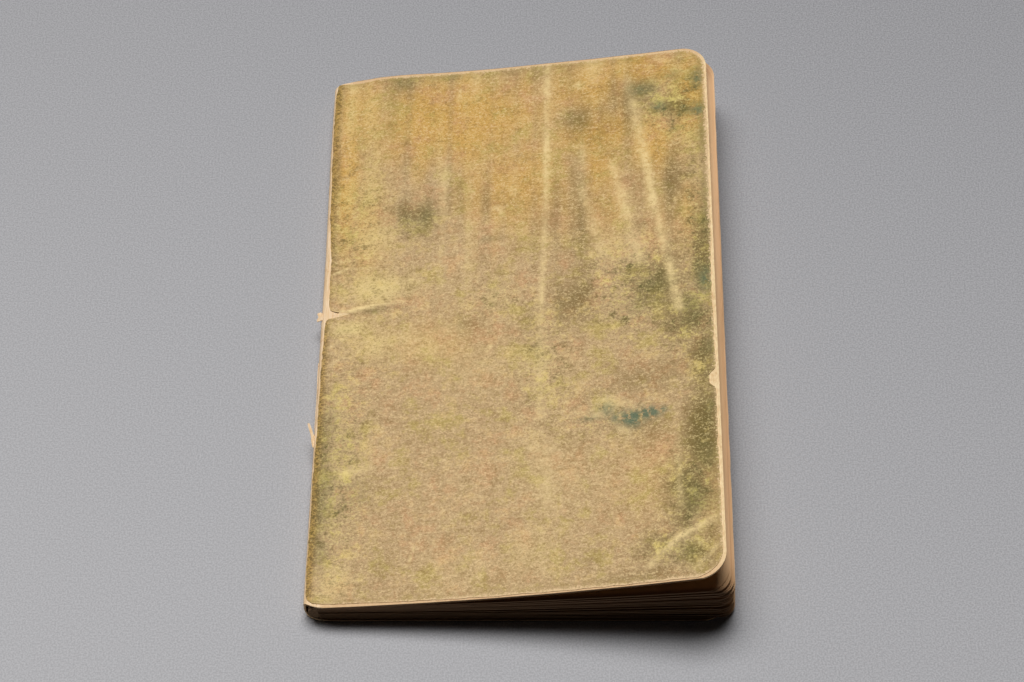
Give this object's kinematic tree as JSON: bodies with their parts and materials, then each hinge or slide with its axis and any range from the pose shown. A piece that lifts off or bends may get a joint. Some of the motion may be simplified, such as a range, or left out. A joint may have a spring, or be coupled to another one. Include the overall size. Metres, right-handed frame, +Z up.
{
  "type": "pocket notebook",
  "caption": "Worn pocket notebook: one thread-sewn section of folded sheets in a flexible wrap-around cover with rounded fore-edge corners, standing slightly open.",
  "frame": {"origin": "centre of the bounding box, on the face it rests on", "axes": "+Y along the spine from tail to head, +X from the spine to the fore-edge, +Z up out of the front cover"},
  "size_m": [0.0918, 0.146, 0.0196],
  "materials": {
    "covering": "worn matt book cloth, mottled ochre and olive",
    "card": "matt",
    "lining": "matt",
    "paper": "matt, toned with age",
    "thread": "matt"
  },
  "bodies": {
    "back_cover": {"back_covering": "covering", "back_card": "card", "back_lining": "lining", "spine_covering": "covering", "spine_card": "card", "spine_lining": "lining", "sewing_thread": "thread"},
    "rear_half_01": {"rear_leaf_01": "paper", "fold_01": "paper"},
    "rear_half_02": {"rear_leaf_02": "paper", "fold_02": "paper"},
    "rear_half_03": {"rear_leaf_03": "paper", "fold_03": "paper"},
    "rear_half_04": {"rear_leaf_04": "paper", "fold_04": "paper"},
    "rear_half_05": {"rear_leaf_05": "paper", "fold_05": "paper"},
    "rear_half_06": {"rear_leaf_06": "paper", "fold_06": "paper"},
    "rear_half_07": {"rear_leaf_07": "paper", "fold_07": "paper"},
    "rear_half_08": {"rear_leaf_08": "paper", "fold_08": "paper"},
    "rear_half_09": {"rear_leaf_09": "paper", "fold_09": "paper"},
    "rear_half_10": {"rear_leaf_10": "paper", "fold_10": "paper"},
    "rear_half_11": {"rear_leaf_11": "paper", "fold_11": "paper"},
    "rear_half_12": {"rear_leaf_12": "paper", "fold_12": "paper"},
    "front_half_01": {"front_leaf_01": "paper"},
    "front_half_02": {"front_leaf_02": "paper"},
    "front_half_03": {"front_leaf_03": "paper"},
    "front_half_04": {"front_leaf_04": "paper"},
    "front_half_05": {"front_leaf_05": "paper"},
    "front_half_06": {"front_leaf_06": "paper"},
    "front_half_07": {"front_leaf_07": "paper"},
    "front_half_08": {"front_leaf_08": "paper"},
    "front_half_09": {"front_leaf_09": "paper"},
    "front_half_10": {"front_leaf_10": "paper"},
    "front_half_11": {"front_leaf_11": "paper"},
    "front_half_12": {"front_leaf_12": "paper"},
    "front_cover": {"front_covering": "covering", "front_card": "card", "front_lining": "lining"}
  },
  "joints": [
    {"name": "rear_lift_01", "type": "hinge", "parent": "back_cover", "child": "rear_half_01", "pos_m": [-0.04247, 0, 0.003], "axis": [0, -1, 0], "range_deg": [0, 0.265]},
    {"name": "rear_lift_02", "type": "hinge", "parent": "back_cover", "child": "rear_half_02", "pos_m": [-0.04247, 0, 0.003], "axis": [0, -1, 0], "range_deg": [0, 0.605]},
    {"name": "rear_lift_03", "type": "hinge", "parent": "back_cover", "child": "rear_half_03", "pos_m": [-0.04247, 0, 0.003], "axis": [0, -1, 0], "range_deg": [0, 0.945]},
    {"name": "rear_lift_04", "type": "hinge", "parent": "back_cover", "child": "rear_half_04", "pos_m": [-0.04247, 0, 0.003], "axis": [0, -1, 0], "range_deg": [0, 1.28]},
    {"name": "rear_lift_05", "type": "hinge", "parent": "back_cover", "child": "rear_half_05", "pos_m": [-0.04247, 0, 0.003], "axis": [0, -1, 0], "range_deg": [0, 1.62]},
    {"name": "rear_lift_06", "type": "hinge", "parent": "back_cover", "child": "rear_half_06", "pos_m": [-0.04247, 0, 0.003], "axis": [0, -1, 0], "range_deg": [0, 1.97]},
    {"name": "rear_lift_07", "type": "hinge", "parent": "back_cover", "child": "rear_half_07", "pos_m": [-0.04247, 0, 0.003], "axis": [0, -1, 0], "range_deg": [0, 2.31]},
    {"name": "rear_lift_08", "type": "hinge", "parent": "back_cover", "child": "rear_half_08", "pos_m": [-0.04247, 0, 0.003], "axis": [0, -1, 0], "range_deg": [0, 2.65]},
    {"name": "rear_lift_09", "type": "hinge", "parent": "back_cover", "child": "rear_half_09", "pos_m": [-0.04247, 0, 0.003], "axis": [0, -1, 0], "range_deg": [0, 2.98]},
    {"name": "rear_lift_10", "type": "hinge", "parent": "back_cover", "child": "rear_half_10", "pos_m": [-0.04247, 0, 0.003], "axis": [0, -1, 0], "range_deg": [0, 3.33]},
    {"name": "rear_lift_11", "type": "hinge", "parent": "back_cover", "child": "rear_half_11", "pos_m": [-0.04247, 0, 0.003], "axis": [0, -1, 0], "range_deg": [0, 3.67]},
    {"name": "rear_lift_12", "type": "hinge", "parent": "back_cover", "child": "rear_half_12", "pos_m": [-0.04247, 0, 0.003], "axis": [0, -1, 0], "range_deg": [0, 4]},
    {"name": "open_at_middle", "type": "hinge", "parent": "rear_half_01", "child": "front_half_01", "pos_m": [-0.04247, 0, 0.003], "axis": [0, -1, 0], "range_deg": [0, 170], "deforming": ["fold_01", "spine_covering", "spine_card", "spine_lining", "sewing_thread"]},
    {"name": "fold_turn_02", "type": "hinge", "parent": "rear_half_02", "child": "front_half_02", "pos_m": [-0.04247, 0, 0.003], "axis": [0, -1, 0], "range_deg": [0, 169.31], "deforming": ["fold_02"]},
    {"name": "fold_turn_03", "type": "hinge", "parent": "rear_half_03", "child": "front_half_03", "pos_m": [-0.04247, 0, 0.003], "axis": [0, -1, 0], "range_deg": [0, 168.62], "deforming": ["fold_03"]},
    {"name": "fold_turn_04", "type": "hinge", "parent": "rear_half_04", "child": "front_half_04", "pos_m": [-0.04247, 0, 0.003], "axis": [0, -1, 0], "range_deg": [0, 167.92], "deforming": ["fold_04"]},
    {"name": "fold_turn_05", "type": "hinge", "parent": "rear_half_05", "child": "front_half_05", "pos_m": [-0.04247, 0, 0.003], "axis": [0, -1, 0], "range_deg": [0, 167.23], "deforming": ["fold_05"]},
    {"name": "fold_turn_06", "type": "hinge", "parent": "rear_half_06", "child": "front_half_06", "pos_m": [-0.04247, 0, 0.003], "axis": [0, -1, 0], "range_deg": [0, 166.53], "deforming": ["fold_06"]},
    {"name": "fold_turn_07", "type": "hinge", "parent": "rear_half_07", "child": "front_half_07", "pos_m": [-0.04247, 0, 0.003], "axis": [0, -1, 0], "range_deg": [0, 165.84], "deforming": ["fold_07"]},
    {"name": "fold_turn_08", "type": "hinge", "parent": "rear_half_08", "child": "front_half_08", "pos_m": [-0.04247, 0, 0.003], "axis": [0, -1, 0], "range_deg": [0, 165.14], "deforming": ["fold_08"]},
    {"name": "fold_turn_09", "type": "hinge", "parent": "rear_half_09", "child": "front_half_09", "pos_m": [-0.04247, 0, 0.003], "axis": [0, -1, 0], "range_deg": [0, 164.45], "deforming": ["fold_09"]},
    {"name": "fold_turn_10", "type": "hinge", "parent": "rear_half_10", "child": "front_half_10", "pos_m": [-0.04247, 0, 0.003], "axis": [0, -1, 0], "range_deg": [0, 163.75], "deforming": ["fold_10"]},
    {"name": "fold_turn_11", "type": "hinge", "parent": "rear_half_11", "child": "front_half_11", "pos_m": [-0.04247, 0, 0.003], "axis": [0, -1, 0], "range_deg": [0, 163.06], "deforming": ["fold_11"]},
    {"name": "fold_turn_12", "type": "hinge", "parent": "rear_half_12", "child": "front_half_12", "pos_m": [-0.04247, 0, 0.003], "axis": [0, -1, 0], "range_deg": [0, 162.36], "deforming": ["fold_12"]},
    {"name": "front_cover_hinge", "type": "hinge", "parent": "front_half_01", "child": "front_cover", "pos_m": [-0.04167, 0, 0.00533], "axis": [0, -1, 0], "range_deg": [0, 170]}
  ],
  "couplings": [
    {"joint": "rear_lift_01", "follows": "open_at_middle", "ratio": 0.0015},
    {"joint": "fold_turn_02", "follows": "open_at_middle", "ratio": 0.99591},
    {"joint": "rear_lift_02", "follows": "open_at_middle", "ratio": 0.0035},
    {"joint": "fold_turn_03", "follows": "open_at_middle", "ratio": 0.99182},
    {"joint": "rear_lift_03", "follows": "open_at_middle", "ratio": 0.0055},
    {"joint": "fold_turn_04", "follows": "open_at_middle", "ratio": 0.98773},
    {"joint": "rear_lift_04", "follows": "open_at_middle", "ratio": 0.0075},
    {"joint": "fold_turn_05", "follows": "open_at_middle", "ratio": 0.98364},
    {"joint": "rear_lift_05", "follows": "open_at_middle", "ratio": 0.0095},
    {"joint": "fold_turn_06", "follows": "open_at_middle", "ratio": 0.97955},
    {"joint": "rear_lift_06", "follows": "open_at_middle", "ratio": 0.0115},
    {"joint": "fold_turn_07", "follows": "open_at_middle", "ratio": 0.97545},
    {"joint": "rear_lift_07", "follows": "open_at_middle", "ratio": 0.0135},
    {"joint": "fold_turn_08", "follows": "open_at_middle", "ratio": 0.97136},
    {"joint": "rear_lift_08", "follows": "open_at_middle", "ratio": 0.0155},
    {"joint": "fold_turn_09", "follows": "open_at_middle", "ratio": 0.96727},
    {"joint": "rear_lift_09", "follows": "open_at_middle", "ratio": 0.0175},
    {"joint": "fold_turn_10", "follows": "open_at_middle", "ratio": 0.96318},
    {"joint": "rear_lift_10", "follows": "open_at_middle", "ratio": 0.0195},
    {"joint": "fold_turn_11", "follows": "open_at_middle", "ratio": 0.95909},
    {"joint": "rear_lift_11", "follows": "open_at_middle", "ratio": 0.0215},
    {"joint": "fold_turn_12", "follows": "open_at_middle", "ratio": 0.955},
    {"joint": "rear_lift_12", "follows": "open_at_middle", "ratio": 0.0235}
  ]
}
